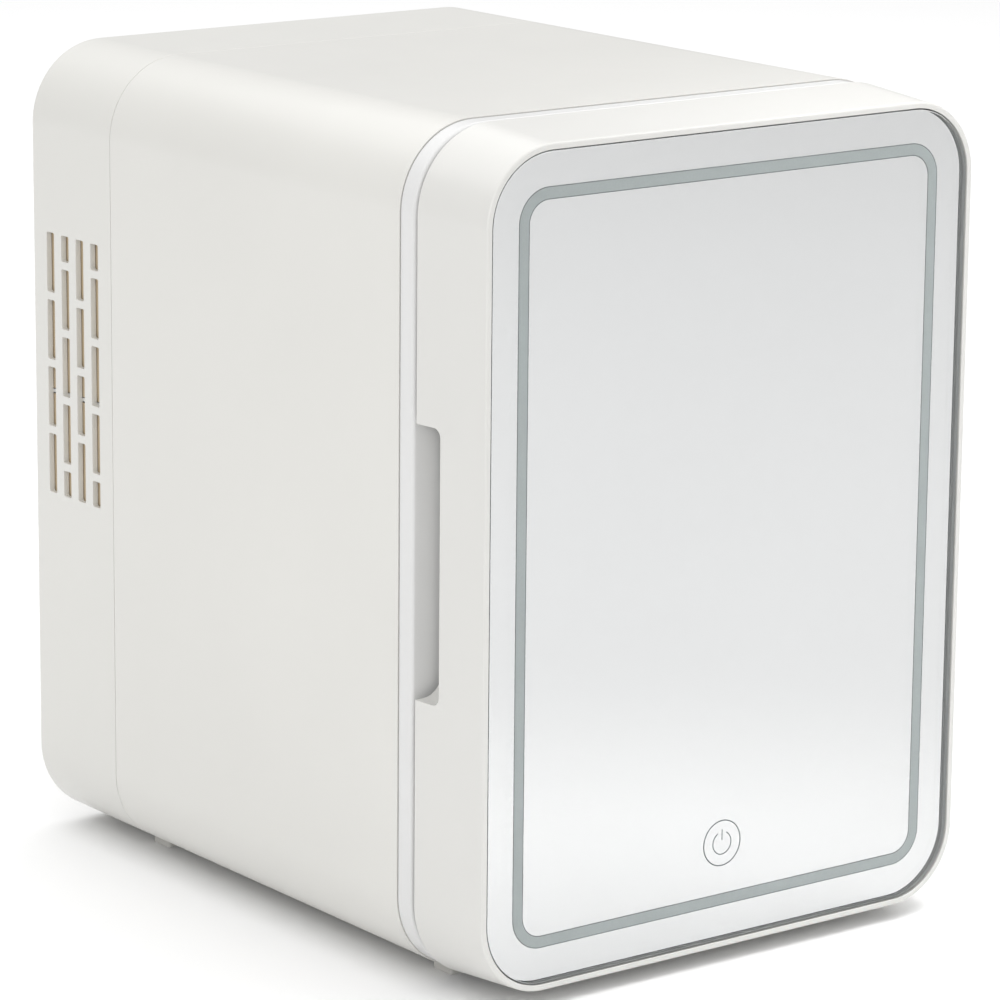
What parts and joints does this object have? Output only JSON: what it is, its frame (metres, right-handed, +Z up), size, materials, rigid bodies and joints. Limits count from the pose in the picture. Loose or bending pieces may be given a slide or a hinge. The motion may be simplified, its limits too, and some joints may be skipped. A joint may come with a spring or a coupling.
{
  "type": "mini fridge",
  "caption": "Small thermoelectric fridge: white casing with large round corners, hinged mirror door with a lit band and a finger grip, side vents, sockets and a fan grille at the back.",
  "frame": {"origin": "middle of the fridge's outline seen from above, on the surface that its feet stand on", "axes": "+Z up, -Y towards the door's mirror face, +X towards the door's hinge"},
  "size_m": [0.243, 0.31, 0.335],
  "materials": {
    "casing": "satin",
    "door_casing": "gloss",
    "liner": "satin",
    "foam": "matte",
    "clear": "gloss",
    "aluminium": "satin",
    "module": "matte",
    "black_plastic": "satin",
    "steel": "satin",
    "brass": "satin",
    "board": "satin",
    "lamp_board": "satin",
    "feet": "matte",
    "gasket": "matte",
    "mirror": "polished",
    "lead_black": "satin",
    "lead_red": "satin"
  },
  "bodies": {
    "cabinet": {"main_shell": "casing", "front_frame": "casing", "inner_liner": "liner", "insulation_top": "foam", "insulation_bottom": "foam", "insulation_left": "foam", "insulation_right": "foam", "insulation_back": "foam", "shelf": "clear", "back_partition": "casing", "cold_sink": "aluminium", "cold_block": "aluminium", "thermoelectric_module": "module", "heat_sink": "aluminium", "cold_fan_frame": "black_plastic", "hot_fan_frame": "black_plastic", "cold_fan_cover": "liner", "rear_cover": "casing", "mode_switch_housing": "black_plastic", "mains_inlet": "black_plastic", "low_volt_inlet": "black_plastic", "cover_screw_lower_left": "steel", "cover_screw_lower_right": "steel", "cover_screw_upper_left": "steel", "cover_screw_upper_right": "steel", "power_supply_board": "board", "control_board": "board", "foot_front_left": "feet", "foot_front_right": "feet", "foot_rear_left": "feet", "foot_rear_right": "feet", "strike_plate_lower": "steel", "strike_plate_upper": "steel", "hinge_bush_lower": "brass", "hinge_bush_upper": "brass", "fan_lead": "lead_black", "module_lead_black": "lead_black", "module_lead_red": "lead_red"},
    "door": {"door_shell": "door_casing", "mirror_glass": "mirror", "light_guide": "clear", "led_strip": "lamp_board", "touch_board": "board", "mirror_back_plate": "liner", "door_insulation": "foam", "door_inner_panel": "liner", "door_gasket": "gasket", "door_bin": "clear", "door_magnet_lower": "steel", "door_magnet_upper": "steel", "hinge_pin_lower": "steel", "hinge_pin_upper": "steel"},
    "hot_rotor": {"hot_fan_rotor": "black_plastic"},
    "cold_rotor": {"cold_fan_rotor": "black_plastic"},
    "rocker": {"mode_switch_rocker": "black_plastic"}
  },
  "joints": [
    {"name": "door_hinge", "type": "hinge", "parent": "cabinet", "child": "door", "pos_m": [0.1155, -0.127, 0.1695], "axis": [0, 0, 1], "range_deg": [0, 120]},
    {"name": "mode_switch_rock", "type": "hinge", "parent": "cabinet", "child": "rocker", "pos_m": [0.056, 0.15, 0.046], "axis": [0, 0, 1], "range_deg": [-8, 8]},
    {"name": "hot_fan_spin", "type": "hinge", "parent": "cabinet", "child": "hot_rotor", "pos_m": [0, 0.135, 0.17], "axis": [0, 1, 0], "continuous": true},
    {"name": "cold_fan_spin", "type": "hinge", "parent": "cabinet", "child": "cold_rotor", "pos_m": [0, 0.035, 0.17], "axis": [0, 1, 0], "continuous": true}
  ]
}
